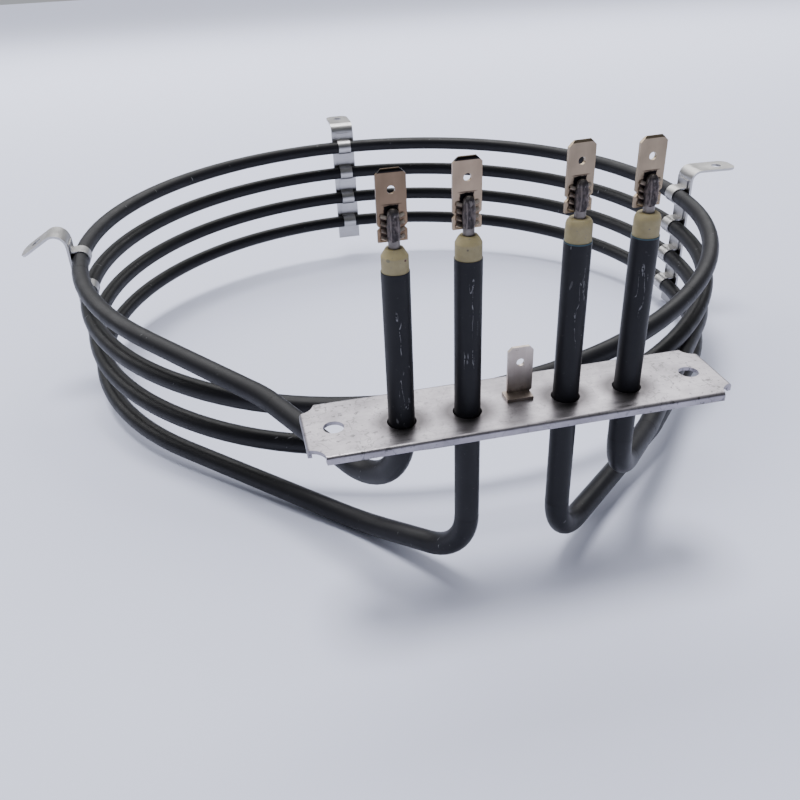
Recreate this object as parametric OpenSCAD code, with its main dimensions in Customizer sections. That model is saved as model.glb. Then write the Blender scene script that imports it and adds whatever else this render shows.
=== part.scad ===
// Round heating element of a fan oven.
// Two bent tubular elements share one mounting plate and lie in one stack of four turns.
// The origin is the middle of the plate's top face. +X runs along the plate,
// +Y points from the plate to the middle of the ring and +Z along the terminal legs.

/* [Tube] */
// Outer diameter of the sheath
tube_diameter = 6.3; // [5.8:0.1:6.8]
// Wall of the sheath
tube_wall = 0.6; // [0.4:0.1:0.8]
// Diameter of the terminal pins and of the heating coil's envelope
core_diameter = 2.5; // [2:0.1:2.8]

/* [Ring] */
// Radius of the turns, to the middle of the tube
ring_radius = 128.4; // [120:1:140]
// Sideways place of the ring's axis
ring_x = 6.9; // [0:0.5:12]
// Gap between the ring's front and the plate's centre line, to the middle of the tube
ring_gap = 44; // [38:0.5:52]
// Depth of the first turn below the plate's top face
first_turn_depth = 14.3; // [12:0.5:18]
// Distance from one turn to the next
turn_pitch = 14.2; // [12:0.2:16]

/* [Legs] */
// Distance between the two inner legs
inner_leg_spacing = 24.7; // [22:0.5:28]
// Distance between the two outer legs
outer_leg_spacing = 56.6; // [52:0.5:62]
// Sideways place of the four legs' middle on the plate
legs_x = -0.95; // [-3:0.1:3]
// Place of the legs' row across the plate
legs_y = -1.9; // [-3:0.1:1]
// Height of the open end of each leg above the plate, from left to right
leg_heights = [37.7, 38.6, 39.5, 38.9];
// Depth of each leg's bend below the plate's top face, from left to right
bend_depths = [25, 44.6, 46.4, 27.3];
// Radius of each leg's bend, to the middle of the tube
bend_radii = [20, 17, 15.5, 15];
// Angle past the ring's straight side at which each lead leaves the ring
lead_angles = [4.6, 2.4, 3.4, 0.6];
// Length of each lead from the ring to its soft corner
lead_lengths = [53.5, 75.5, 51, 84.9];
// Rise of each lead over that length
lead_rises = [-4.6, 2, 5.6, 9];
// Radius of the soft corner in each lead
lead_corner_radius = 60; // [40:5:80]

/* [Mounting plate] */
// Length of the plate
plate_length = 104.6; // [100:1:115]
// Width of the plate
plate_width = 23.4; // [22:0.2:28]
// Thickness of the plate's sheet
plate_sheet = 1; // [0.8:0.1:1.2]
// Height of the plate with its folded lips
plate_lip = 2.1; // [1.8:0.1:3.5]
// Outer radius of the fold between plate and lip
plate_fold = 0.9; // [0.4:0.1:1]
// Radius of the notch cut into each corner
plate_notch = 3.9; // [3:0.1:5]
// Distance of each fixing hole from the plate's end
fixing_inset = 7.2; // [6.8:0.1:9]
// Diameter of the fixing holes
fixing_hole = 5; // [3:0.1:6]
// Depth of the bevel round each leg's hole
leg_hole_bevel = 0.35; // [0.2:0.05:0.5]

/* [Earth tab] */
// Width of the earth tab
earth_width = 6.3; // [5.8:0.1:6.8]
// Height of the earth tab above the plate
earth_height = 12.8; // [10:0.1:15]
// Sheet of the earth tab
earth_sheet = 0.8; // [0.6:0.1:1]
// Hole in the earth tab
earth_hole = 2; // [1.6:0.1:2.4]
// Height of that hole above the plate
earth_hole_height = 8.7; // [7:0.1:9.5]
// Sideways place of the earth tab
earth_x = 1.1; // [-2:0.1:3]
// Place of the earth tab's back face across the plate
earth_y = 2.9; // [2:0.1:4]
// Length of the foot that is welded to the plate
earth_foot = 4.2; // [3:0.1:4.5]
// Width of the foot
earth_foot_width = 6.6; // [6:0.1:7.5]
// Sideways shift of the foot under the tab
earth_foot_shift = -0.9; // [-1.5:0.1:1.5]

/* [Terminals] */
// Width of the flat terminal tabs
tab_width = 6.3; // [5.8:0.1:6.8]
// Sheet of the terminal tabs
tab_sheet = 0.8; // [0.6:0.1:1]
// Height of a tab's lower end above the leg's open end
tab_start = 6.1; // [5.5:0.1:7]
// Length of a tab
tab_length = 15.1; // [14:0.1:18]
// Hole in a tab
tab_hole = 1.7; // [1.4:0.1:2.2]
// Distance of that hole from the tab's upper end
tab_hole_drop = 4.3; // [3.5:0.1:5]
// Turn of each tab about its leg, from left to right
tab_turns = [0, 2, 6, 4];
// Diameter of the ceramic bead
bead_diameter = 5.9; // [5.6:0.1:6]
// Diameter of the bead's narrow top
bead_top_diameter = 3.8; // [3.4:0.1:4.4]
// Height of the bead above the leg's open end
bead_height = 5.1; // [4:0.1:5.4]
// Height of the bead's shoulder
bead_shoulder = 3.4; // [2.5:0.1:3.8]
// How far each bead's top is domed, from left to right, from 0 for a plain cone to 1
bead_dome_shares = [0, 0.3, 1, 1];
// Length of the bead's spigot inside the sheath
bead_spigot = 3; // [2:0.1:4]
// Length of the pin inside the sheath
pin_inside = 22; // [15:1:30]

/* [Brackets] */
// Bearing of each bracket about the ring's axis, right, rear and left
bracket_angles = [-3, 90, 180];
// Width of the outer strip
strip_width = 12; // [10:0.5:14]
// Sheet of the outer strip
strip_sheet = 0.9; // [0.8:0.1:1.2]
// How far the strip runs below the lowest turn's middle
strip_below = 11; // [6:0.5:14]
// Height of the flange's top face above the first turn's middle
flange_rise = 11.6; // [9:0.5:14]
// Length of each flange from the strip's inner face, right, rear and left
flange_lengths = [21, 21, 17.5];
// Inner radius of the fold at each flange, right, rear and left
flange_folds = [3.5, 3.5, 4];
// Slope of each flange below the level, right, rear and left
flange_slopes = [0, 0, 31];
// Hole in each flange
flange_hole = 4.2; // [3:0.1:5]
// Distance of that hole from the flange's end
flange_hole_inset = 7; // [6:0.5:9]
// Radius of the flange's two outer corners
flange_corner = 4; // [1:0.5:5]
// Width of the inner keeper band
keeper_width = 7; // [5:0.5:9]
// Sheet of the keeper band
keeper_sheet = 0.5; // [0.4:0.1:0.7]

/* [Hidden] */
$fn = 48;

tube_r = tube_diameter / 2;
bore_r = tube_r - tube_wall;
core_r = core_diameter / 2;
ring_y = ring_radius + ring_gap;
fixing_spacing = plate_length - 2 * fixing_inset;
// hairline left between pieces that slide together
fit_gap = 0.05;
// overrun of the cuts
over = 1;
// lap, end gap and step in radius between a bend and the straight piece next to it
joint_lap = 0.6;
joint_trim = 0.2;
joint_step = 0.03;
// turn of the weld seam round the straight pieces
seam_turn = 37;

// the turns are numbered from 0 below the plate down to the last one
last_turn = 3;

// sideways places of the four legs, from left to right
leg_xs = [legs_x - outer_leg_spacing / 2, legs_x - inner_leg_spacing / 2,
          legs_x + inner_leg_spacing / 2, legs_x + outer_leg_spacing / 2];

// bearings of the corners of a crossing, round the front; the turns are flat from its end round the back
crossing_bearings = [-8, -50, -92, -134, -172];
flat_right = crossing_bearings[0];
flat_left = 360 + crossing_bearings[len(crossing_bearings) - 1];
// share of one pitch that the tube has dropped at each corner of the crossing
crossing_drop_shares = [0, 0.45, 1, 1];
// the bends that leave the ring's level are a little tighter than the ring
sloped_bend_share = 0.985;

function turn_z(k) = -first_turn_depth - k * turn_pitch;
function unit(v) = v / norm(v);
function corner(a, b, z) =
    [ring_x + ring_radius / cos((b - a) / 2) * cos((a + b) / 2),
     ring_y + ring_radius / cos((b - a) / 2) * sin((a + b) / 2), z];
function on_ring(a, z) = [ring_x + ring_radius * cos(a), ring_y + ring_radius * sin(a), z];

// bearing at which a straight line from a leg touches the ring; side is -1 on the left, 1 on the right
function touch_bearing(x, side) =
    let(dx = x - ring_x, dy = legs_y - ring_y, a = atan2(dy, dx), b = acos(ring_radius / norm([dx, dy])))
    side < 0 ? a + 360 - b : a + b;
function leave_bearing(i, side) = touch_bearing(leg_xs[i], side) + lead_angles[i];

// corners of one lead, from the leg's open end to the ring, each with its bend radius
function lead(i, side, z) =
    let(a = leave_bearing(i, side), flat = side < 0 ? flat_left : flat_right,
        c = corner(flat, a, z), t = on_ring(a, z), m = t + lead_lengths[i] * unit(t - c))
    [[[leg_xs[i], legs_y, leg_heights[i]], 0],
     [[leg_xs[i], legs_y, -bend_depths[i]], bend_radii[i]],
     [[m[0], m[1], z + lead_rises[i]], lead_corner_radius],
     [c, ring_radius * sloped_bend_share]];
function back(z) = [[corner(90, flat_left, z), ring_radius], [corner(flat_right, 90, z), ring_radius]];
function crossing(k) = [for (j = [0 : len(crossing_drop_shares) - 1])
    [corner(crossing_bearings[j], crossing_bearings[j + 1], turn_z(k) - crossing_drop_shares[j] * turn_pitch),
     ring_radius * sloped_bend_share]];
function reversed(v) = [for (j = [len(v) - 1 : -1 : 0]) v[j]];

three_turns = concat(lead(0, -1, turn_z(0)), back(turn_z(0)), crossing(0), back(turn_z(1)), crossing(1),
                     back(turn_z(2)), reversed(lead(3, 1, turn_z(2))));
one_turn = concat(lead(1, -1, turn_z(last_turn)), back(turn_z(last_turn)),
                  reversed(lead(2, 1, turn_z(last_turn))));

// half angle of the bend at corner j, and the length that it takes from each side
function half_bend(p, j) =
    acos(max(-1, min(1, unit(p[j][0] - p[j - 1][0]) * unit(p[j + 1][0] - p[j][0])))) / 2;
function setback(p, j) = j == 0 || j == len(p) - 1 ? 0 : p[j][1] * tan(half_bend(p, j));

// a bent rod or tube along the corners p, made of true cylinders and true bends;
// each straight piece is a hair thinner and is lapped into the bends at its ends
module bent_tube(p, r, r_in = 0, start_cut = 0, end_cut = 0) {
    last = len(p) - 1;
    for (j = [0 : last - 1]) {
        straight_piece(p, j, r - joint_step, r_in > 0 ? r_in + joint_step : 0,
                       j == 0 ? start_cut : setback(p, j) - joint_trim - joint_lap,
                       j == last - 1 ? end_cut : setback(p, j + 1) - joint_trim - joint_lap);
        if (j < last - 1) bend_piece(p, j + 1, r, r_in);
    }
}
module straight_piece(p, j, r, r_in, a, b) {
    d = unit(p[j + 1][0] - p[j][0]);
    translate(p[j][0] + d * a)
        rotate([0, acos(d[2]), atan2(d[1], d[0])]) rotate([0, 0, seam_turn])
            linear_extrude(norm(p[j + 1][0] - p[j][0]) - a - b) tube_section(r, r_in);
}
module bend_piece(p, j, r, r_in) {
    d1 = unit(p[j][0] - p[j - 1][0]);
    d2 = unit(p[j + 1][0] - p[j][0]);
    n = unit(cross(d1, d2));
    e = cross(d1, n);
    c = p[j][0] - d1 * setback(p, j) - e * p[j][1];
    trim = joint_trim / p[j][1] * 180 / PI;
    multmatrix([[e[0], d1[0], n[0], c[0]],
                [e[1], d1[1], n[1], c[1]],
                [e[2], d1[2], n[2], c[2]],
                [0, 0, 0, 1]])
        rotate([0, 0, trim])
            rotate_extrude(angle = 2 * half_bend(p, j) - 2 * trim, $fn = bend_facets(p[j][1]))
                translate([p[j][1], 0]) tube_section(r, r_in);
}
function bend_facets(radius) = radius > lead_corner_radius ? 120 : 48;

module tube_section(r, r_in) {
    difference() {
        circle(r, $fn = 24);
        if (r_in > 0) circle(r_in, $fn = 24);
    }
}

// the plate is a shallow tray with folded lips and notched corners
module rounded_slab(length, width, height, fold) {
    intersection() {
        rotate([90, 0, 90])
            translate([0, 0, -length / 2]) linear_extrude(length) rounded_top(width, height, fold);
        rotate([90, 0, 0])
            translate([0, 0, -width / 2]) linear_extrude(width) rounded_top(length, height, fold);
    }
}
module rounded_top(w, h, fold) {
    translate([-w / 2, -h]) square([w, h - fold]);
    translate([-w / 2 + fold, -fold * 2]) square([w - fold * 2, fold * 2]);
    for (s = [-1, 1]) translate([s * (w / 2 - fold), -fold]) circle(fold);
}
module mounting_plate() {
    color("gainsboro")
    difference() {
        rounded_slab(plate_length, plate_width, plate_lip, plate_fold);
        translate([-plate_length / 2 + plate_sheet, -plate_width / 2 + plate_sheet, -plate_lip - over])
            cube([plate_length - 2 * plate_sheet, plate_width - 2 * plate_sheet,
                  plate_lip - plate_sheet + over]);
        for (sx = [-1, 1], sy = [-1, 1])
            translate([sx * plate_length / 2, sy * plate_width / 2, -plate_lip - over])
                cylinder(r = plate_notch, h = plate_lip + 2 * over);
        for (s = [-1, 1])
            translate([s * fixing_spacing / 2, 0, -plate_lip - over])
                cylinder(r = fixing_hole / 2, h = plate_lip + 2 * over);
        for (x = leg_xs) translate([x, legs_y, 0]) {
            translate([0, 0, -plate_lip - over]) cylinder(r = tube_r, h = plate_lip + 2 * over);
            translate([0, 0, -leg_hole_bevel])
                cylinder(r1 = tube_r, r2 = tube_r + leg_hole_bevel, h = leg_hole_bevel);
        }
    }
}

// the earth tab is folded from one strip and stands on its welded foot
module earth_tab() {
    cut = earth_width / 6;
    color("silver") {
        translate([earth_x, earth_y, 0])
            rotate([90, 0, 0]) linear_extrude(earth_sheet) difference() {
                polygon([[-earth_width / 2 + cut, 0], [-earth_width / 2, cut],
                         [-earth_width / 2, earth_height - cut], [-earth_width / 2 + cut, earth_height],
                         [earth_width / 2 - cut, earth_height], [earth_width / 2, earth_height - cut],
                         [earth_width / 2, cut], [earth_width / 2 - cut, 0]]);
                translate([0, earth_hole_height]) circle(earth_hole / 2);
            }
        translate([earth_x + earth_foot_shift - earth_foot_width / 2, earth_y - earth_foot, 0])
            cube([earth_foot_width, earth_foot, earth_sheet]);
    }
}

module sheath_three_turns() { color("#34373d") bent_tube(three_turns, tube_r, bore_r); }
module sheath_one_turn() { color("#34373d") bent_tube(one_turn, tube_r, bore_r); }
module fill_three_turns() { color("white") bent_tube(three_turns, bore_r, core_r, bead_spigot, bead_spigot); }
module fill_one_turn() { color("white") bent_tube(one_turn, bore_r, core_r, bead_spigot, bead_spigot); }
module coil_three_turns() { color("dimgray") bent_tube(three_turns, core_r, 0, pin_inside, pin_inside); }
module coil_one_turn() { color("dimgray") bent_tube(one_turn, core_r, 0, pin_inside, pin_inside); }

// pin with a melted, rounded end, welded to the front of its tab
pin_reach = tab_start + tab_length * 0.4;
module terminal_pin(i) {
    color("gray") translate([leg_xs[i], legs_y, leg_heights[i]]) {
        translate([0, 0, -pin_inside]) cylinder(r = core_r, h = pin_inside + pin_reach);
        translate([0, 0, pin_reach]) sphere(core_r);
    }
}

// a stepped ceramic bead; its top runs from the shoulder to the crown as a cone that is more or less domed
module ceramic_bead(i) {
    run = (bead_diameter - bead_top_diameter) / 2;
    rise = bead_height - bead_shoulder;
    bow = bead_dome_shares[i];
    top = [for (a = [0 : 15 : 90])
        [bead_top_diameter / 2 + run * (bow * cos(a) + (1 - bow) * (1 - a / 90)),
         bead_shoulder + rise * (bow * sin(a) + (1 - bow) * a / 90)]];
    color("#d8d0b4") translate([leg_xs[i], legs_y, leg_heights[i]])
        rotate_extrude() polygon(concat(
            [[core_r + fit_gap, -bead_spigot], [bore_r - fit_gap, -bead_spigot], [bore_r - fit_gap, 0],
             [bead_diameter / 2, 0]],
            top, [[core_r + fit_gap, bead_height]]));
}

// flat terminal tab with a row of slanted teeth on each side of the pin,
// a pressed line above them and a bevel round its upper end
module terminal_tab(i) {
    chamfer = tab_width / 5;
    bevel = tab_sheet / 3;
    notch = tab_width / 10;
    notch_height = tab_length / 5;
    teeth = 4;
    tooth_pitch = notch_height * 2 / teeth;
    tooth_reach = (tab_width / 2 - core_r) * 0.8;
    tooth_slant = 24;
    crease = tab_sheet / 6;
    color("#c9b9a4")
    translate([leg_xs[i], legs_y, leg_heights[i] + tab_start]) rotate([0, 0, tab_turns[i]])
    difference() {
        translate([0, core_r + tab_sheet / 2, 0]) union() {
            rotate([90, 0, 0]) linear_extrude(tab_sheet) difference() {
                polygon([[-tab_width / 2, 0], [-tab_width / 2, notch_height - notch],
                         [-tab_width / 2 + notch, notch_height], [-tab_width / 2, notch_height + notch],
                         [-tab_width / 2, tab_length - chamfer], [-tab_width / 2 + chamfer, tab_length],
                         [tab_width / 2 - chamfer, tab_length], [tab_width / 2, tab_length - chamfer],
                         [tab_width / 2, notch_height + notch], [tab_width / 2 - notch, notch_height],
                         [tab_width / 2, notch_height - notch], [tab_width / 2, 0]]);
                translate([0, tab_length - tab_hole_drop]) circle(tab_hole / 2);
            }
            for (s = [-1, 1], k = [0 : teeth - 1])
                translate([s * (core_r + tooth_reach / 2), -tab_sheet, k * tooth_pitch + tooth_pitch / 4])
                    rotate([0, -s * tooth_slant, 0])
                        rotate([90, 0, 90]) translate([0, 0, -tooth_reach / 2]) linear_extrude(tooth_reach)
                            polygon([[tab_sheet / 2, 0], [0, 0], [-tab_sheet * 0.6, tooth_pitch / 4],
                                     [0, tooth_pitch * 0.7], [tab_sheet / 2, tooth_pitch * 0.7]]);
        }
        for (s = [0, 1]) translate([0, core_r - tab_sheet / 2 + s * tab_sheet, tab_length])
            rotate([90, 0, 90]) translate([0, 0, -tab_width]) linear_extrude(tab_width * 2)
                polygon([[0, -bevel * 2], [s == 0 ? bevel : -bevel, 0], [s == 0 ? bevel : -bevel, over],
                         [s == 0 ? -over : over, over], [s == 0 ? -over : over, -bevel * 2]]);
        translate([-tab_width / 3, core_r - tab_sheet / 2 - over, notch_height * 2])
            cube([tab_width * 2 / 3, over + crease, crease]);
        translate([0, 0, -over]) cylinder(r = core_r, h = pin_reach - tab_start + over);
        translate([0, 0, pin_reach - tab_start]) sphere(core_r);
    }
}

// the outer strip stands against the outside of the turns and folds out into a flange
strip_in = ring_radius + tube_r;
module sector(bearing, width) {
    span = width / strip_in * 180 / PI;
    translate([ring_x, ring_y, 0]) rotate([0, 0, bearing - span / 2])
        rotate_extrude(angle = span, $fn = 240) children();
}
module bracket_strip(b) {
    top = turn_z(0) + flange_rise;
    low = turn_z(last_turn) - strip_below;
    fold = flange_folds[b];
    fold_r = fold + strip_sheet;
    slope = flange_slopes[b];
    fold_width = strip_width - 2 * joint_step;
    fold_lap = acos(fold / (fold + joint_step)) * 0.8;
    length = flange_lengths[b];
    color("lightgray") {
        sector(bracket_angles[b], strip_width)
            translate([strip_in, low]) square([strip_sheet, top - fold_r - low]);
        translate([ring_x, ring_y, 0]) rotate([0, 0, bracket_angles[b]])
            translate([strip_in + fold_r, 0, top - fold_r]) {
                rotate([90, 0, 0]) translate([0, 0, -fold_width / 2])
                    rotate([0, 0, 90 - slope - fold_lap]) rotate_extrude(angle = 90 + slope + 2 * fold_lap)
                        translate([fold + joint_step, 0])
                            square([strip_sheet - 2 * joint_step, fold_width]);
                rotate([0, slope, 0]) translate([0, -strip_width / 2, fold])
                    linear_extrude(strip_sheet) difference() {
                        flange_outline(length - fold_r, strip_width);
                        translate([length - fold_r - flange_hole_inset, strip_width / 2])
                            circle(flange_hole / 2);
                    }
            }
    }
}
module flange_outline(l, w) {
    square([l - flange_corner, w]);
    translate([0, flange_corner]) square([l, w - 2 * flange_corner]);
    for (y = [flange_corner, w - flange_corner]) translate([l - flange_corner, y]) circle(flange_corner);
}

// the keeper band is pressed round each turn and spot welded to the strip between them
module keeper(b) {
    top = turn_z(0) + tube_r * 2.2;
    low = turn_z(last_turn) - tube_r * 2.2;
    color("lightgray") sector(bracket_angles[b], keeper_width)
        difference() {
            union() {
                translate([strip_in - keeper_sheet, low]) square([keeper_sheet, top - low]);
                for (k = [0 : last_turn]) translate([ring_radius, turn_z(k)]) {
                    circle(tube_r + keeper_sheet);
                    translate([0, -tube_r - keeper_sheet]) square([tube_r, 2 * (tube_r + keeper_sheet)]);
                }
            }
            for (k = [0 : last_turn]) translate([ring_radius, turn_z(k)]) {
                circle(tube_r);
                translate([0, -tube_r]) square([tube_r + over, 2 * tube_r]);
            }
            translate([strip_in, low - over]) square([tube_r * 2, top - low + 2 * over]);
        }
}

mounting_plate();
earth_tab();
sheath_three_turns();
sheath_one_turn();
fill_three_turns();
fill_one_turn();
coil_three_turns();
coil_one_turn();
terminal_pin(0);  // pin_1
terminal_pin(1);  // pin_2
terminal_pin(2);  // pin_3
terminal_pin(3);  // pin_4
ceramic_bead(0);  // bead_1
ceramic_bead(1);  // bead_2
ceramic_bead(2);  // bead_3
ceramic_bead(3);  // bead_4
terminal_tab(0);  // tab_1
terminal_tab(1);  // tab_2
terminal_tab(2);  // tab_3
terminal_tab(3);  // tab_4
bracket_strip(0);  // strip_right
bracket_strip(1);  // strip_rear
bracket_strip(2);  // strip_left
keeper(0);  // keeper_right
keeper(1);  // keeper_rear
keeper(2);  // keeper_left
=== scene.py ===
# Looks for the round heating element: materials, small pieces, floor, light and camera.
import math

import bmesh
import bpy
from mathutils import Matrix, Vector, noise


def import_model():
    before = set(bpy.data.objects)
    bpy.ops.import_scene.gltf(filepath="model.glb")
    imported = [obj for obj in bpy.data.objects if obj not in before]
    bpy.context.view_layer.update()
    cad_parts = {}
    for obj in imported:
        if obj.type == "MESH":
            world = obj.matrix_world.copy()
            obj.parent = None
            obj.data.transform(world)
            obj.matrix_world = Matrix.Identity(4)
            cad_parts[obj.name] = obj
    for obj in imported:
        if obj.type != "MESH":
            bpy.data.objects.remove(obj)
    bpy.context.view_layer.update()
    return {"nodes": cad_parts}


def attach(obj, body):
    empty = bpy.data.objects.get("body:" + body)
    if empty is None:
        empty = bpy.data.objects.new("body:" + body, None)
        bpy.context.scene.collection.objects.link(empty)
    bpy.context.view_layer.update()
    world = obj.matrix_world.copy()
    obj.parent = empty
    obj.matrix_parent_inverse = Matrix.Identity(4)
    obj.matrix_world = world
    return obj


MM = 0.001
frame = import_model()
nodes = frame["nodes"]

# Sizes that the pieces take from the part, in millimetres, with the legs counted from the left
TUBE_R = 3.15
LEGS = range(4)
LEG_X = [-29.25, -13.3, 11.4, 27.35]
LEG_Y = -1.9
LEG_TOP = [37.7, 38.6, 39.5, 38.9]

# Beads and blades, measured from the open end of their leg; a blade's turn is in degrees
BEAD_HEIGHT = 5.1
TAB_START = 6.1
TAB_LENGTH = 15.1
TAB_FRONT = 0.85
TAB_TURN = [0, 2, 6, 4]


def add_object(name, data):
    obj = bpy.data.objects.new(name, data)
    bpy.context.scene.collection.objects.link(obj)
    return obj


# Camera: its place in millimetres, its angles in radians and what it sees between, in metres
CAM_POS = (-61.46, -158.17, 104.53)
CAM_YAW, CAM_PITCH, CAM_ROLL = 0.202, 0.554, -0.044
FOCAL_PX = 816.29
FRAME_PX = 800
SENSOR = 36.0
NEAREST, FARTHEST = 0.01, 20


def camera():
    """The photograph's own viewpoint, which looks down on the part with a small roll."""
    data = bpy.data.cameras.new("camera")
    data.sensor_width = SENSOR
    data.lens = FOCAL_PX / FRAME_PX * SENSOR
    data.clip_start = NEAREST
    data.clip_end = FARTHEST
    obj = add_object("camera", data)
    cy, sy = math.cos(CAM_YAW), math.sin(CAM_YAW)
    cp, sp = math.cos(CAM_PITCH), math.sin(CAM_PITCH)
    forward = Vector((sy * cp, cy * cp, -sp))
    right = Vector((cy, -sy, 0))
    up = right.cross(forward)
    cr, sr = math.cos(CAM_ROLL), math.sin(CAM_ROLL)
    right, up = right * cr + up * sr, up * cr - right * sr
    turn = Matrix((right, up, -forward)).transposed()
    obj.matrix_world = Matrix.Translation(Vector(CAM_POS) * MM) @ turn.to_4x4()
    bpy.context.scene.camera = obj


camera()


# Materials
class Nodes:
    """Short names for building one node material."""

    def __init__(self, name):
        self.mat = bpy.data.materials.new(name)
        self.mat.use_nodes = True
        self.tree = self.mat.node_tree
        self.shader = self.tree.nodes["Principled BSDF"]
        self.coords = self.tree.nodes.new("ShaderNodeTexCoord").outputs["Object"]

    def link(self, a, b):
        self.tree.links.new(a, b)

    def feed(self, socket, value):
        """Link a node's output to a socket, or set a number or a colour on it."""
        if hasattr(value, "links"):
            self.link(value, socket)
        elif isinstance(value, (int, float)):
            socket.default_value = value
        else:
            socket.default_value = (*value, 1)

    def add(self, kind, **values):
        """A new node with values set on its inputs, by name."""
        n = self.tree.nodes.new(kind)
        for key, value in values.items():
            n.inputs[key].default_value = value
        return n

    def stretch(self, scale, turn=(0, 0, 0)):
        n = self.add("ShaderNodeMapping", Scale=scale, Rotation=turn)
        self.link(self.coords, n.inputs["Vector"])
        return n.outputs["Vector"]

    def noise(self, scale, detail=3, rough=0.5, vector=None):
        n = self.add("ShaderNodeTexNoise", Scale=scale, Detail=detail, Roughness=rough)
        self.link(vector or self.coords, n.inputs["Vector"])
        return n.outputs["Fac"]

    def ramp(self, value, stops):
        """Turn a field into colours or numbers, from stops in rising order."""
        n = self.tree.nodes.new("ShaderNodeValToRGB")
        points = n.color_ramp.elements
        points[1].position = stops[-1][0]
        points[0].position = stops[0][0]
        for stop in stops[1:-1]:
            points.new(stop[0])
        for point, (place, colour) in zip(sorted(points, key=lambda e: e.position), stops):
            if isinstance(colour, (int, float)):
                colour = (colour, colour, colour)
            point.color = (*colour, 1)
        self.link(value, n.inputs["Fac"])
        return n.outputs["Color"]

    def mix(self, fac, a, b, how="MIX"):
        n = self.tree.nodes.new("ShaderNodeMix")
        n.data_type = "RGBA"
        n.blend_type = how
        self.feed(n.inputs[0], fac)
        self.feed(n.inputs[6], a)
        self.feed(n.inputs[7], b)
        return n.outputs[2]

    def times(self, a, b):
        return self.mix(1.0, a, b, "MULTIPLY")

    def spread(self, field, low, high):
        """Run from one colour or number to another over the middle of a noise field."""
        return self.ramp(field, [(0.3, low), (0.7, high)])

    def paint(self, base, colour, mask, start, end, most=1):
        """Lay a colour over the base where a mask rises from start to end."""
        return self.mix(self.ramp(mask, [(start, 0), (end, most)]), base, colour)

    def math(self, how, a, b=0.0):
        n = self.tree.nodes.new("ShaderNodeMath")
        n.operation = how
        self.feed(n.inputs[0], a)
        self.feed(n.inputs[1], b)
        return n.outputs[0]

    def fray(self, mask, field, amount):
        """Add a share of a noise field to a mask, so that its edge turns uneven."""
        return self.math("ADD", mask, self.math("MULTIPLY", field, amount))

    def axis(self, name):
        n = self.tree.nodes.new("ShaderNodeSeparateXYZ")
        self.link(self.coords, n.inputs[0])
        return n.outputs[name]

    def way(self, name, start=0, unit=1):
        """Way along one axis from a start, both in millimetres, counted in units of so many."""
        return self.math("MULTIPLY", self.math("SUBTRACT", self.axis(name), start * MM), 1 / (unit * MM))

    def oval(self, centre, half):
        """1 at the centre of an oval and 0 at its edge, in millimetres; a half size of None is endless."""
        total = None
        for name, c, h in zip("XYZ", centre, half):
            if h is None:
                continue
            off = self.way(name, c, h)
            square = self.math("MULTIPLY", off, off)
            total = self.math("ADD", total, square) if total else square
        return self.math("SUBTRACT", 1.0, self.math("SQRT", total))

    def slab(self, centre, half):
        """1 at the centre of an upright rectangle and 0 at its edge, in millimetres."""
        least = 1.0
        for name, c, h in zip("XZ", centre, half):
            share = self.math("ABSOLUTE", self.way(name, c, h))
            least = self.math("MINIMUM", least, self.math("SUBTRACT", 1.0, share))
        return least

    def local(self, origin, turn):
        """Measure from the open end of one leg, along and across its turned tab."""
        back = Matrix.Rotation(-turn, 3, "Z")
        place = back @ (-Vector(origin) * MM)
        n = self.add("ShaderNodeMapping", Location=place, Rotation=(0, 0, -turn))
        self.link(self.coords, n.inputs["Vector"])
        self.coords = n.outputs["Vector"]

    def squiggles(self, width, stretch):
        """Thin wandering lines: where a noise field crosses its middle value."""
        field = self.noise(1.0, 2, 0.6, self.stretch(stretch))
        off = self.math("ABSOLUTE", self.math("SUBTRACT", field, 0.5))
        return self.ramp(off, [(0.0, 1), (width, 0)])

    def bump(self, height, strength, distance=0.0002, after=None):
        n = self.add("ShaderNodeBump", Strength=strength, Distance=distance)
        self.link(height, n.inputs["Height"])
        if after:
            self.link(after, n.inputs["Normal"])
        return n.outputs["Normal"]

    def finish(self, colour, roughness, metallic, normal=None):
        self.feed(self.shader.inputs["Base Color"], colour)
        self.feed(self.shader.inputs["Roughness"], roughness)
        self.feed(self.shader.inputs["Metallic"], metallic)
        if normal:
            self.link(normal, self.shader.inputs["Normal"])
        return self.mat


def nick_mask(m):
    """Thin, long marks in some patches only: stretched noise cut off near its crest."""
    lines = m.noise(1.0, 2, 0.4, m.stretch((260, 1400, 300), (0.2, 0.5, 0.9)))
    cut = m.ramp(lines, [(0.72, 0), (0.75, 1)])
    return m.times(cut, m.ramp(m.noise(70, 2), [(0.52, 0), (0.6, 1)]))


# Chalky rub marks on the legs: leg, middle of the patch above the plate, half height, sideways shift
MARK_WIDE, MARK_DEEP = 1.5, 2.2
LEG_MARKS = [(0, 8.0, 9.0, 0.5), (0, 24.0, 6.0, -0.8), (0, -4.0, 2.5, 1.0), (1, 29.0, 11.0, 0.7),
             (1, 15.0, 5.0, -0.6), (2, 24.0, 12.0, 0.6), (3, 27.0, 7.0, -1.0)]


# The two right legs have a bluish painted highlight in a thin band just below their open end, where the
# rim catches the light
RIM_HIGHLIGHT_LEGS = (2, 3)
RIM_HIGHLIGHT_DROP = 0.12
RIM_HIGHLIGHT_HALF = (4.0, 0.22)


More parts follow.
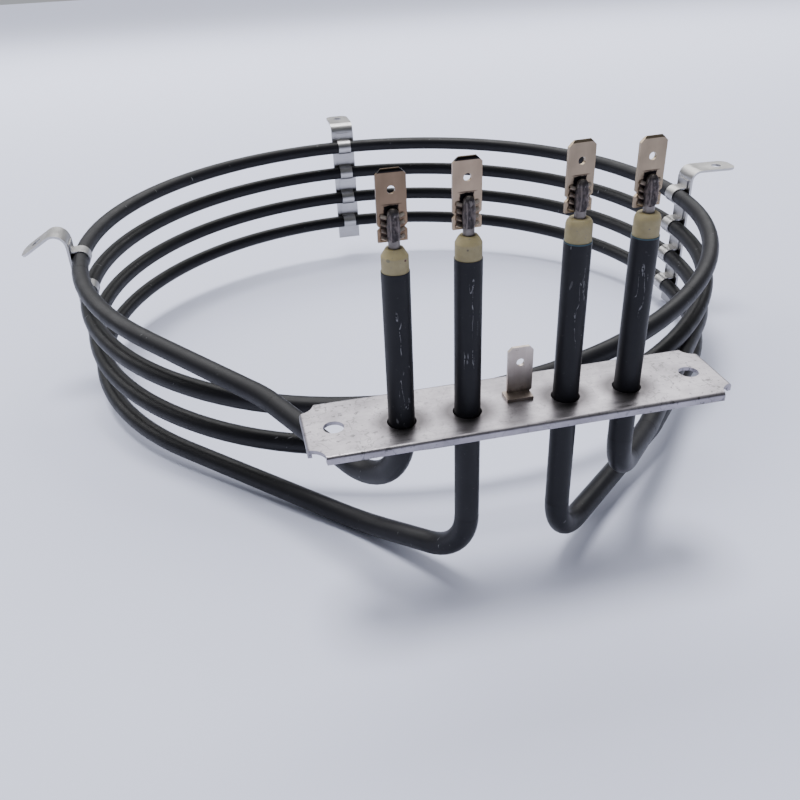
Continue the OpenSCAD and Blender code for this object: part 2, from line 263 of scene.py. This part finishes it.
def sheath_material():
    """Oxidised steel, nearly black, with specks, nicks and rub marks, and a bluish painted highlight just
    below the open end of two legs.
    """
    m = Nodes("dark_oxidised_sheath")
    cloud = m.noise(26, 4, 0.55)
    base = m.ramp(cloud, [(0.3, (0.0064, 0.0064, 0.0088)), (0.55, (0.0088, 0.0088, 0.0116)),
                          (0.75, (0.0124, 0.0124, 0.0155))])
    base = m.paint(base, (0.05, 0.051, 0.055), m.noise(1100, 2, 0.5), 0.69, 0.74, 0.35)
    base = m.mix(nick_mask(m), base, (0.2, 0.2, 0.21))
    lines = m.squiggles(0.016, (560, 560, 75))
    grit = m.ramp(m.noise(2100, 2, 0.6), [(0.42, 0), (0.52, 1)])
    for leg, height, tall, shift in LEG_MARKS:
        patch = m.oval((LEG_X[leg] + shift, LEG_Y - TUBE_R, height), (MARK_WIDE, MARK_DEEP, tall))
        patch = m.ramp(m.fray(patch, m.noise(190, 2), 0.9), [(0.5, 0), (0.72, 1)])
        base = m.mix(m.times(m.times(lines, grit), patch), base, (0.26, 0.26, 0.27))
    # bluish painted highlight in a band just below the rim of each right leg
    for k in RIM_HIGHLIGHT_LEGS:
        rim = m.slab((LEG_X[k], LEG_TOP[k] - RIM_HIGHLIGHT_DROP), RIM_HIGHLIGHT_HALF)
        base = m.paint(base, (0.05, 0.095, 0.115), rim, 0.0, 0.4, 0.9)
    rough = m.spread(m.noise(160, 4, 0.6), 0.40, 0.50)
    normal = m.bump(m.noise(2600, 3, 0.6), 0.15, 0.00006)
    mat = m.finish(base, rough, 0.0, normal)
    m.shader.inputs["Specular IOR Level"].default_value = 0.23
    return mat


# Small burnt or chipped spots on the beads: bead, sideways, height above the tube's end, radius, colour
SPOT_FRONT, SPOT_DEEP = 2.4, 1.6
SOOT_HALF = (1.75, 1.75, 0.9)
BEAD_SPOTS = [(0, 1.7, 2.9, 0.3, (0.10, 0.035, 0.02)), (0, -1.9, 3.2, 0.45, (0.20, 0.18, 0.11)),
              (1, -1.0, 2.7, 0.28, (0.15, 0.12, 0.08)), (2, 2.2, 1.6, 0.35, (0.24, 0.20, 0.13)),
              (3, -0.8, 2.2, 0.25, (0.22, 0.18, 0.12))]


def bead_material():
    """Cream ceramic with dark pores, a few spots and soot where the pin comes out."""
    m = Nodes("cream_ceramic_bead")
    cloud = m.noise(320, 3, 0.6)
    base = m.ramp(cloud, [(0.3, (0.275, 0.228, 0.110)), (0.6, (0.345, 0.288, 0.147)),
                          (0.8, (0.40, 0.335, 0.183))])
    pores = m.ramp(m.noise(1900, 2, 0.5), [(0.28, 0), (0.36, 1)])
    base = m.mix(pores, (0.25, 0.215, 0.15), base)
    for k, side, height, radius, colour in BEAD_SPOTS:
        place = (LEG_X[k] + side, LEG_Y - SPOT_FRONT, LEG_TOP[k] + height)
        base = m.paint(base, colour, m.oval(place, (radius, SPOT_DEEP, radius)), 0.0, 0.35)
    for k in LEGS:
        soot = m.oval((LEG_X[k], LEG_Y, LEG_TOP[k] + BEAD_HEIGHT), SOOT_HALF)
        base = m.paint(base, (0.13, 0.10, 0.07), soot, 0.0, 0.5, 0.75)
    rough = m.spread(m.noise(900, 3), 0.5, 0.68)
    return m.finish(base, rough, 0.0, m.bump(m.noise(1600, 4, 0.6), 0.2, 0.00008))


def strip_material():
    """Rolled strip: fine brushing along its length and faint clouds."""
    m = Nodes("satin_strip")
    lines = m.noise(1.0, 4, 0.65, m.stretch((120, 120, 900)))
    base = m.spread(m.noise(60, 4, 0.55), (0.49, 0.483, 0.48), (0.585, 0.577, 0.573))
    base = m.times(base, m.spread(lines, 0.86, 1.0))
    rough = m.spread(m.noise(1.0, 3, 0.6, m.stretch((120, 120, 900))), 0.29, 0.41)
    normal = m.bump(m.noise(38, 2), 0.08, 0.002, m.bump(lines, 0.1, 0.00005))
    return m.finish(base, rough, 1.0, normal)


# Worn ends of the plate, and the half sizes of the painted shade round each leg
END_REACH = 50
LEG_SHADE_HALF = (8.2, 7.4, None)


def plate_material():
    """Rolled sheet with painted shade round the seats of the legs, specked and scratched toward both ends.
    """
    m = Nodes("satin_plate")
    lines = m.noise(1.0, 4, 0.65, m.stretch((45, 800, 300)))
    base = m.ramp(m.noise(75, 5, 0.65), [(0.35, (0.27, 0.254, 0.276)), (0.65, (0.46, 0.437, 0.472))])
    base = m.times(base, m.spread(lines, 0.78, 1.0))
    ends = m.math("ABSOLUTE", m.way("X", 0, END_REACH))
    ends = m.ramp(ends, [(0.35, 0.35), (0.8, 1.0)])
    rub = m.squiggles(0.02, (210, 210, 210))
    rub = m.times(rub, m.ramp(m.noise(90, 3), [(0.44, 0), (0.56, 0.8)]))
    base = m.mix(m.times(rub, ends), base, (0.13, 0.125, 0.13))
    specks = m.ramp(m.noise(760, 3, 0.6), [(0.60, 0), (0.66, 0.75)])
    base = m.mix(m.times(specks, ends), base, (0.10, 0.095, 0.10))
    # painted shade round each leg: the legs' shadow and dark reflection on the plate
    for k in LEGS:
        leg_shade = m.oval((LEG_X[k], LEG_Y, None), LEG_SHADE_HALF)
        leg_shade = m.fray(leg_shade, m.noise(150, 3), 0.16)
        base = m.paint(base, (0.045, 0.04, 0.042), leg_shade, 0.08, 0.5, 0.78)
    rough = m.spread(m.noise(1.0, 3, 0.6, m.stretch((45, 800, 300))), 0.29, 0.40)
    normal = m.bump(m.noise(46, 3), 0.12, 0.002, m.bump(lines, 0.12, 0.00005))
    return m.finish(base, rough, 1.0, normal)


# Height that the darkening toward the earth tab's foot is counted in
FOOT_DARK_UNIT = 5


def earth_material():
    """Plated blade, darker toward its foot."""
    m = Nodes("warm_earth_tab")
    lines = m.noise(1.0, 4, 0.6, m.stretch((700, 200, 60)))
    base = m.spread(m.noise(200, 3), (0.49, 0.425, 0.375), (0.61, 0.54, 0.485))
    base = m.times(base, m.spread(lines, 0.88, 1.0))
    # darker towards the bottom of the tab
    low = m.fray(m.way("Z", 0, FOOT_DARK_UNIT), m.noise(800, 4, 0.7), 0.5)
    base = m.mix(m.ramp(low, [(0.40, 0.7), (0.62, 0.0)]), base, (0.16, 0.13, 0.115))
    base = m.paint(base, (0.16, 0.12, 0.09), m.noise(1300, 2), 0.66, 0.72, 0.5)
    rough = m.spread(m.noise(300, 3), 0.30, 0.42)
    return m.finish(base, rough, 1.0, m.bump(lines, 0.1, 0.00004))


# Marks on a blade, in millimetres: middle height and half sizes of each, from the open end of the leg
# painted shade line where the blade's crease lies in shade, and its half sizes
CREASE_SHADE, CREASE_SHADE_HALF = 13.95, (2.3, 0.16)
TEETH, TEETH_HALF = TAB_START + 3.2, (2.7, 3.0)
HEAT, HEAT_HALF = TAB_START + 1.5, (5.0, None, 7.0)
SOOT_SIDE, SOOT, TAB_SOOT_HALF = -0.2, 12.5, (2.0, 1.6)
# the painted dark reflection on the top bevel starts this far below the blade's top, on these legs
BEVEL_REFLECTION_DROP = 0.85
BEVEL_REFLECTION_LEGS = (0, 1)
TAB_TONE = [(0.205, 0.145, 0.098), (0.338, 0.26, 0.187), (0.30, 0.238, 0.17), (0.31, 0.248, 0.176)]


def leg_nodes(name, k):
    """A material that measures from the open end of one leg."""
    m = Nodes("%s_%d" % (name, k + 1))
    m.local((LEG_X[k], LEG_Y, LEG_TOP[k]), math.radians(TAB_TURN[k]))
    return m


def tab_material(k):
    """Nickel-plated blade, browned near its foot, with soot round the weld, a painted shade line at its
    crease, painted shade between the teeth and painted highlights on their crests; the first two blades
    also have a painted dark reflection on their top bevel.
    """
    m = leg_nodes("nickel_blade", k)
    lines = m.noise(1.0, 4, 0.6, m.stretch((500, 500, 45)))
    low = TAB_TONE[k]
    high = tuple(c * 1.2 for c in low)
    base = m.spread(m.noise(240, 3), low, high)
    base = m.times(base, m.spread(lines, 0.88, 1.0))
    wobble = m.noise(620, 4, 0.65)
    heat = m.fray(m.oval((0, None, HEAT), HEAT_HALF), wobble, 0.5)
    base = m.paint(base, (0.26, 0.165, 0.095), heat, 0.35, 1.0, 0.5)
    # painted shade line across the blade, where its crease lies in shade
    crease_shade = m.slab((0, CREASE_SHADE), CREASE_SHADE_HALF)
    base = m.paint(base, (0.06, 0.042, 0.032), crease_shade, 0.0, 0.4, 0.8)
    soot = m.fray(m.slab((SOOT_SIDE, SOOT), TAB_SOOT_HALF), wobble, 0.55)
    soot = m.ramp(soot, [(0.42, 0), (0.54, 1)])
    base = m.mix(soot, base, (0.010, 0.008, 0.009))
    depth = m.way("Y")
    toothed = m.ramp(m.slab((0, TEETH), TEETH_HALF), [(0.0, 0), (0.12, 1)])
    # painted highlight on the crests of the teeth
    crest_highlight = m.ramp(depth, [(TAB_FRONT - 0.36, 1), (TAB_FRONT - 0.12, 0.5), (TAB_FRONT - 0.04, 0)])
    base = m.mix(m.times(crest_highlight, toothed), base, (0.95, 0.84, 0.74))
    # painted shade in the recesses between the teeth, deeper on the left side
    recess_shade = m.ramp(depth, [(TAB_FRONT - 0.11, 0), (TAB_FRONT - 0.03, 1)])
    side = m.ramp(m.way("X"), [(0.0, 0.95), (1.0, 0.4)])
    gap_shade = m.times(m.times(recess_shade, toothed), side)
    base = m.mix(gap_shade, base, (0.018, 0.013, 0.012))
    # painted dark reflection on the top bevel of the first two blades
    if k in BEVEL_REFLECTION_LEGS:
        edge = m.way("Z", TAB_START + TAB_LENGTH - BEVEL_REFLECTION_DROP)
        edge = m.ramp(edge, [(0.0, 0), (0.06, 1), (0.66, 1), (0.76, 0)])
        base = m.mix(edge, base, (0.016, 0.014, 0.014))
    base = m.paint(base, (0.2, 0.14, 0.1), m.noise(1500, 2), 0.70, 0.76, 0.4)
    rough = m.mix(soot, m.spread(m.noise(300, 3), 0.30, 0.42), (0.62, 0.62, 0.62))
    return m.finish(base, rough, 1.0, m.bump(lines, 0.12, 0.00004))


# Melted weld that holds each pin to its tab, measured from the open end of the leg
WELD_LOW, WELD_HIGH = 6.0, 13.4
WELD_WIDE, WELD_DEEP = 1.42, 1.68
WELD_BACK = 1.0
WELD_MEAN = 1.4
WELD_SOOT = 12.2
WELD_RINGS, WELD_SIDES = 40, 36
DENT_DEEP, DENT_WIDE = 0.3, 0.5
RIM_HIGH, RIM_AT, RIM_WIDE = 0.16, 0.8, 0.22


def weld_material(k):
    """Once molten steel: dull purple-grey, with painted highlights on its rims and soot at its top."""
    m = leg_nodes("burnt_weld_metal", k)
    flow = m.noise(760, 5, 0.65, m.stretch((1, 1, 0.45)))
    base = m.ramp(flow, [(0.40, (0.016, 0.012, 0.013)), (0.5, (0.05, 0.04, 0.041)),
                         (0.62, (0.15, 0.122, 0.115))])
    # painted highlights along both rims of the weld
    rim_highlights = m.ramp(m.math("ABSOLUTE", m.way("X")), [(0.55, 0), (0.85, 0.5), (1.0, 0.0)])
    base = m.mix(rim_highlights, base, (0.33, 0.28, 0.26))
    top = m.fray(m.way("Z", WELD_SOOT), m.noise(900, 4, 0.6), 1.6)
    base = m.paint(base, (0.014, 0.011, 0.012), top, 0.55, 1.0, 0.9)
    rough = m.spread(m.noise(900, 3), 0.48, 0.7)
    return m.finish(base, rough, 0.35, m.bump(m.noise(1300, 5, 0.7), 0.7, 0.0002))


def pin_material():
    """Plain steel wire, for the pins and the coils."""
    m = Nodes("plain_pin")
    base = m.spread(m.noise(500, 3), (0.115, 0.102, 0.095), (0.21, 0.19, 0.178))
    rough = m.spread(m.noise(800, 2), 0.36, 0.5)
    return m.finish(base, rough, 1.0, m.bump(m.noise(1500, 3), 0.3, 0.0001))


def powder_material():
    """Packed white powder inside the tubes."""
    m = Nodes("packed_powder")
    base = m.spread(m.noise(900, 3), (0.74, 0.735, 0.71), (0.84, 0.835, 0.81))
    return m.finish(base, 0.9, 0.0)


# Materials by the first word of a node's name; each tab has one of its own
MATERIALS = {
    "sheath": sheath_material(),
    "bead": bead_material(),
    "pin": pin_material(),
    "mounting": plate_material(),
    "earth": earth_material(),
    "strip": strip_material(),
    "fill": powder_material(),
}
MATERIALS["keeper"] = MATERIALS["strip"]
MATERIALS["coil"] = MATERIALS["pin"]


def material_of(name):
    kind, _, rest = name.partition("_")
    return tab_material(int(rest) - 1) if kind == "tab" else MATERIALS[kind]


def dress(obj, mat):
    obj.data.materials.clear()
    obj.data.materials.append(mat)


SMOOTH_ANGLE = math.radians(35)


def shade(obj):
    """Round faces shade smoothly, and edges sharper than the angle stay crisp."""
    mesh = obj.data
    bm = bmesh.new()
    bm.from_mesh(mesh)
    for face in bm.faces:
        face.smooth = True
    for edge in bm.edges:
        edge.smooth = len(edge.link_faces) == 2 and edge.calc_face_angle(0) < SMOOTH_ANGLE
    bm.to_mesh(mesh)
    bm.free()


for name, obj in nodes.items():
    dress(obj, material_of(name))
    shade(obj)


def piece(name, bm, mat, body="root"):
    """Make one scene piece that rides on a body of the part."""
    mesh = bpy.data.meshes.new(name)
    bmesh.ops.recalc_face_normals(bm, faces=bm.faces)
    bm.to_mesh(mesh)
    bm.free()
    obj = add_object(name, mesh)
    dress(obj, mat)
    shade(obj)
    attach(obj, body)


def weld_point(v, a, seed):
    """A point of the weld's skin, at a share of its height and an angle round the pin."""
    swell = (1 - (2 * v - 1) ** 6) ** 0.5
    swell *= 0.86 + 0.14 * math.sin(math.pi * min(1, v * 1.25))
    x = math.cos(a) * WELD_WIDE * swell
    y = min(WELD_BACK, math.sin(a) * WELD_DEEP * swell)
    z = WELD_LOW + (WELD_HIGH - WELD_LOW) * v
    front = max(0.0, -math.sin(a))
    along = math.sin(math.pi * min(1, max(0, (v - 0.1) / 0.8))) ** 0.7
    dent = DENT_DEEP * math.exp(-(x / DENT_WIDE) ** 2) * front * along
    rim = RIM_HIGH * math.exp(-((abs(x) - RIM_AT) / RIM_WIDE) ** 2) * front
    spot = Vector((x, y, z)) * 1.3 + seed
    rough = 0.13 * noise.noise(spot) + 0.06 * noise.noise(spot * 2.7)
    grow = 1 + (rough + rim) / WELD_MEAN
    return Vector((x * grow, y * grow + dent, z)) * MM


def weld(k):
    """A flattened nugget round the pin's end, with a sunken middle and a rough, flowed skin."""
    seed = Vector((k * 7.3, k * 3.1, 0))
    bm = bmesh.new()
    angles = [2 * math.pi * i / WELD_SIDES for i in range(WELD_SIDES)]
    rings = []
    for j in range(WELD_RINGS + 1):
        rings.append([bm.verts.new(weld_point(j / WELD_RINGS, a, seed)) for a in angles])
    for low, high in zip(rings, rings[1:]):
        for i in range(WELD_SIDES):
            n = (i + 1) % WELD_SIDES
            bm.faces.new((low[i], low[n], high[n], high[i]))
    bm.faces.new(rings[0][::-1])
    bm.faces.new(rings[-1])
    turn = Matrix.Rotation(math.radians(TAB_TURN[k]), 4, "Z")
    place = Matrix.Translation(Vector((LEG_X[k], LEG_Y, LEG_TOP[k])) * MM)
    bm.transform(place @ turn)
    piece("weld_%d" % (k + 1), bm, weld_material(k))


for k in LEGS:
    weld(k)


# Floor. The part rests on the feet of its side brackets and on one soft corner of a lead.
FLOOR_TILT = math.radians(4.3)
FLOOR_REACH = 60.0
FLOOR_COLOUR = (0.70, 0.733, 0.915)
FLOOR_ROUGH, FLOOR_GLOSS = 0.6, 0.25


def lowest_along(normal):
    """How far down the floor may come before it meets the part."""
    return min(normal.dot(obj.matrix_world @ v.co) for obj in nodes.values() for v in obj.data.vertices)


def floor():
    """A plain, wide plane that touches the part from below."""
    normal = Vector((0, math.sin(FLOOR_TILT), math.cos(FLOOR_TILT)))
    bm = bmesh.new()
    bmesh.ops.create_grid(bm, x_segments=2, y_segments=2, size=FLOOR_REACH)
    mesh = bpy.data.meshes.new("floor")
    bm.to_mesh(mesh)
    bm.free()
    obj = add_object("floor", mesh)
    down = Matrix.Translation(normal * lowest_along(normal))
    obj.matrix_world = down @ Matrix.Rotation(-FLOOR_TILT, 4, "X")
    m = Nodes("pale_floor")
    dress(obj, m.finish(FLOOR_COLOUR, FLOOR_ROUGH, 0.0))
    m.shader.inputs["Specular IOR Level"].default_value = FLOOR_GLOSS


floor()


# Light from all round: its colour before and behind the part, and what the camera sees of it
WORLD_FRONT = (0.24, 0.25, 0.27, 1)
WORLD_REAR = (0.80, 0.81, 0.84, 1)
WORLD_SEEN = (0.86, 0.89, 0.95, 1)
WORLD_POWER = 0.47


def world():
    """Soft light from all round, brighter behind the part than on the camera's side."""
    w = bpy.data.worlds.new("studio")
    bpy.context.scene.world = w
    w.use_nodes = True
    tree = w.node_tree
    coords = tree.nodes.new("ShaderNodeTexCoord")
    split = tree.nodes.new("ShaderNodeSeparateXYZ")
    ramp = tree.nodes.new("ShaderNodeValToRGB")
    span = tree.nodes.new("ShaderNodeMapRange")
    span.inputs["From Min"].default_value = -1
    tree.links.new(coords.outputs["Generated"], split.inputs[0])
    tree.links.new(split.outputs["Y"], span.inputs["Value"])
    tree.links.new(span.outputs["Result"], ramp.inputs["Fac"])
    front, rear = ramp.color_ramp.elements
    front.color = WORLD_FRONT
    rear.color = WORLD_REAR
    seen = tree.nodes.new("ShaderNodeLightPath")
    pale = tree.nodes.new("ShaderNodeMix")
    pale.data_type = "RGBA"
    pale.inputs[7].default_value = WORLD_SEEN
    tree.links.new(seen.outputs["Is Camera Ray"], pale.inputs[0])
    tree.links.new(ramp.outputs["Color"], pale.inputs[6])
    back = tree.nodes["Background"]
    tree.links.new(pale.outputs[2], back.inputs["Color"])
    back.inputs["Strength"].default_value = WORLD_POWER


world()


# Lamps, in metres because they stand far off; the width of the overhead one is in degrees
OVERHEAD_FROM = (-0.08, 0.13, 0.985)
OVERHEAD_WIDE, OVERHEAD_POWER = 22, 3.1
PANEL_PLACE = (-0.4, 1.75, 1.4)
PANEL_TARGET = (-0.4, 1.77, 0.0)
PANEL_SIZE = (5.0, 1.4)
PANEL_POWER = 100.0


def overhead_lamp():
    """A broad lamp far above, which lights the whole floor alike and casts soft shadows."""
    data = bpy.data.lights.new("overhead", "SUN")
    data.angle = math.radians(OVERHEAD_WIDE)
    data.energy = OVERHEAD_POWER
    turn = Vector(OVERHEAD_FROM).to_track_quat("Z", "Y").to_matrix().to_4x4()
    add_object("overhead", data).matrix_world = turn


def rear_lamp():
    """A wide panel that shines down on the floor behind the part."""
    data = bpy.data.lights.new("behind", "AREA")
    data.shape = "RECTANGLE"
    data.size, data.size_y = PANEL_SIZE
    data.energy = PANEL_POWER
    aim = Vector(PANEL_TARGET) - Vector(PANEL_PLACE)
    turn = aim.to_track_quat("-Z", "Y").to_matrix().to_4x4()
    add_object("behind", data).matrix_world = Matrix.Translation(Vector(PANEL_PLACE)) @ turn


overhead_lamp()
rear_lamp()
